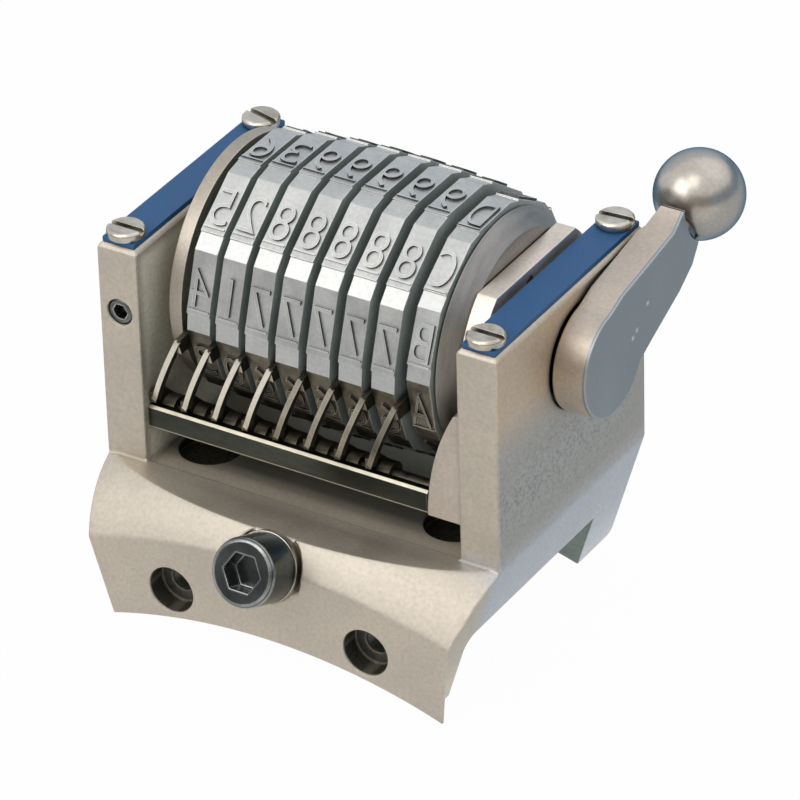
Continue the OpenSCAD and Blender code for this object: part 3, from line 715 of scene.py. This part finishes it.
# --- Swing --------------------------------------------------------------------
# Drum, sleeve, left arm and carrier rod turn with the lever and carry the drive
# pawls. The coiled spring in the right plate brings them back.

drum_steel = metal("drum_steel", (0.36, 0.35, 0.34), (0.28, 0.27, 0.265), (0.38, 0.48),
                   stretch=(8, 1, 1), bump=0.1, corner_shade=(0.04, 0.04, 0.035),
                   corner_shade_span=(0.1, 0.6), worn=(0.5, 0.49, 0.47))
for node, paint, slot in (
    ("lever_sleeve", ground, "ground_steel"),
    ("swing_drum", drum_steel, "dark_drum"),
    ("swing_arm_left", drum_steel, "dark_drum"),
    ("carrier_rod", ground, "ground_steel"),
    ("drive_pawls", pawl_steel, "pawl_steel"),
):
    dressed(node, paint, 0.00012)
dressed("lever_return_spring", ground, edge=0, crisp=70)

# --- Lever and ball -----------------------------------------------------------
# Forged lever, ground round its edge and nickel plated, pinned on the sleeve. The
# ball is turned steel, polished, and screwed on its end.

lever_face_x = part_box("lever_arm")[1].x - 0.0005
nick_half = 0.0003
# Painted highlight: the lower front of the hub is lighter.
hub_highlight = zone((None, None, None), (None, 0.032, 0.036),
                 0.006, (0.86, 0.75, 0.6), share=0.8)
# Painted reflection: the lever's outer face is blue-grey, standing for a reflected blue
# surround.
lever_blue_reflection = zone((lever_face_x, None, None), (None, None, None),
                  0.0003, (0.25, 0.31, 0.355))
nicks = [
    zone((lever_face_x, y - nick_half, z - nick_half), (None, y + nick_half, z + nick_half),
         0.0003, (0.8, 0.76, 0.66), share=0.8)
    for y, z in ((0.0376, 0.0381), (0.0365, 0.0374), (0.0406, 0.0408))]
lever_nickel = metal("lever_nickel", (0.58, 0.51, 0.44), (0.48, 0.42, 0.37), (0.36, 0.46),
                     bump=0.12, patch=0.005, corner_shade_reach=0.001, worn_reach=0.0006,
                     worn_share=0.5, zones=(hub_highlight, lever_blue_reflection, *nicks))
# Painted reflection: the blue tint on the grazing gloss stands for a blue surround.
polished = metal("polished_ball", (0.56, 0.52, 0.47), (0.5, 0.46, 0.42), (0.26, 0.32),
                 bump=0.03, patch=0.006, worn=None, rim_reflection_tint=(0.2, 0.42, 0.6))
dressed("lever_arm", lever_nickel, 0.00025, flatten=0)
dressed("ball_knob", polished, edge=0, flatten=0)

# --- Cover strips and their screws --------------------------------------------
# Two thin steel strips, cut to the side plates' tops and enamelled blue. Each is held
# by two nickel plated cheese head screws, turned and slotted.

enamel = metal("blue_enamel", (0.012, 0.112, 0.3), (0.009, 0.1, 0.275), (0.45, 0.55),
               bump=0.1, patch=0.002, metallic=0.0, worn=(0.2, 0.3, 0.45), corner_shade=None,
               worn_reach=0.0002, worn_share=0.4)
screw_nickel = metal("screw_nickel", (0.72, 0.68, 0.6), (0.46, 0.42, 0.35), (0.2, 0.32),
                     bump=0.12, patch=0.0012, corner_shade=(0.04, 0.04, 0.035), corner_shade_reach=0.001,
                     worn=(0.9, 0.9, 0.87))
for side in ("left", "right"):
    dressed(side + "_cover_strip", enamel, 0.00015)
    dressed(side + "_strip_screws", screw_nickel, 0.00012)

# --- Clamp screw, washer and shaft lock screw ---------------------------------
# Black oxide socket cap screw that slopes down through the flange on a plain steel
# washer, and a small socket set screw in the left plate's front edge that locks the
# wheel shaft. Their rims are worn bright, and that light edge colour is partly a
# painted highlight.

# Partly painted highlight: the whitish edge colour stands for the bright ring on the
# chamfers as well as for wear.
black_oxide = metal("black_oxide", (0.14, 0.15, 0.145), (0.08, 0.09, 0.088), (0.2, 0.3),
                    bump=0.12, corner_shade=None, worn=(0.8, 0.81, 0.82),
                    worn_reach=0.0006, worn_share=0.95)
oxide_wear_and_highlight = metal("oxide_wear_and_highlight", (0.42, 0.42, 0.42), (0.22, 0.23, 0.23), (0.22, 0.34),
                   patch=0.002, corner_shade=None, worn=None)
washer_steel = metal("washer_steel", (0.56, 0.52, 0.48), (0.46, 0.42, 0.39), (0.3, 0.42),
                     bump=0.12)
dressed("clamp_screw", black_oxide, 0.00025, rim=oxide_wear_and_highlight)
dressed("clamp_washer", washer_steel, rim=screw_nickel)
dressed("shaft_lock_screw", black_oxide, 0.00015)
